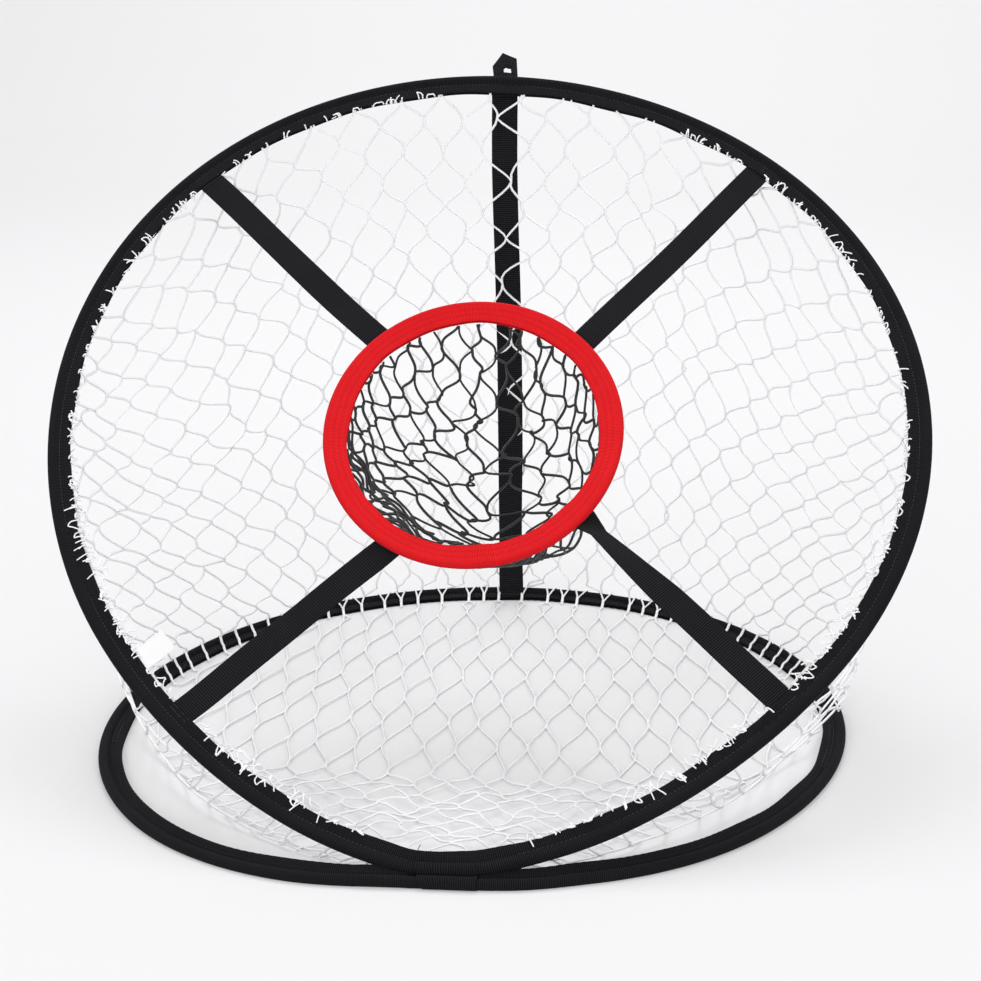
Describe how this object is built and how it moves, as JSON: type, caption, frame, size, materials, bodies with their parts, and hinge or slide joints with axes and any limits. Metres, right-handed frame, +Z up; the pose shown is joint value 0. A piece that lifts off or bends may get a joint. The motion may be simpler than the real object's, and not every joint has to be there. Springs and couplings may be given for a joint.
{
  "type": "golf chipping net",
  "caption": "Pop-up golf chipping net: a leaning taped spring hoop with a target ring on webbing straps, a netting bag behind it and a base hoop.",
  "frame": {"origin": "on the ground, under the middle of the fold that joins the front hoop to the base hoop", "axes": "+X to the right as the player sees it, +Y away from the player to the back, +Z up"},
  "size_m": [0.625, 0.5226, 0.4512],
  "materials": {
    "spring_steel": "spring-tempered round wire, hidden in the tape",
    "black_grosgrain": "matt black ribbed polyester grosgrain tape",
    "red_grosgrain": "matt red ribbed polyester grosgrain tape",
    "black_webbing": "matt black ribbed polypropylene webbing",
    "black_thread": "black polyester sewing thread",
    "red_thread": "red polyester sewing thread",
    "white_net": "soft white knotless polyester netting",
    "black_net": "soft black knotless polyester netting",
    "label": "blank white satin tape"
  },
  "bodies": {
    "base": {"base_hoop_wire": "spring_steel", "base_hoop_ferrule": "spring_steel", "base_hoop_sleeve": "black_grosgrain", "base_hoop_seam": "black_thread", "fold_wrap": "black_grosgrain", "catch_net": "white_net", "floor_net": "white_net", "net_ties": "white_net", "back_strap": "black_webbing", "back_strap_tacks": "black_thread"},
    "front": {"front_hoop_wire": "spring_steel", "front_hoop_ferrule": "spring_steel", "front_hoop_sleeve": "black_grosgrain", "front_hoop_seam": "black_thread", "target_ring_wire": "spring_steel", "target_ring_ferrule": "spring_steel", "target_ring_sleeve": "red_grosgrain", "target_ring_seam": "red_thread", "strap_upper_left": "black_webbing", "strap_upper_right": "black_webbing", "strap_lower_left": "black_webbing", "strap_lower_right": "black_webbing", "strap_tacks": "black_thread", "pocket_net": "black_net", "care_label": "label"},
    "loop": {"hang_loop": "black_webbing"}
  },
  "joints": [
    {"name": "front_fold", "type": "hinge", "parent": "base", "child": "front", "pos_m": [0, 0, 0.0082], "axis": [1, 0, 0], "range_deg": [-38, 0], "stiffness_Nm_per_rad": 1.6, "springref_deg": 57.3, "deforming": ["catch_net", "back_strap", "pocket_net"]},
    {"name": "loop_flap", "type": "hinge", "parent": "front", "child": "loop", "pos_m": [0, 0.49099, 0.43652], "axis": [1, 0, 0], "range_deg": [-40, 50], "stiffness_Nm_per_rad": 0.005}
  ]
}
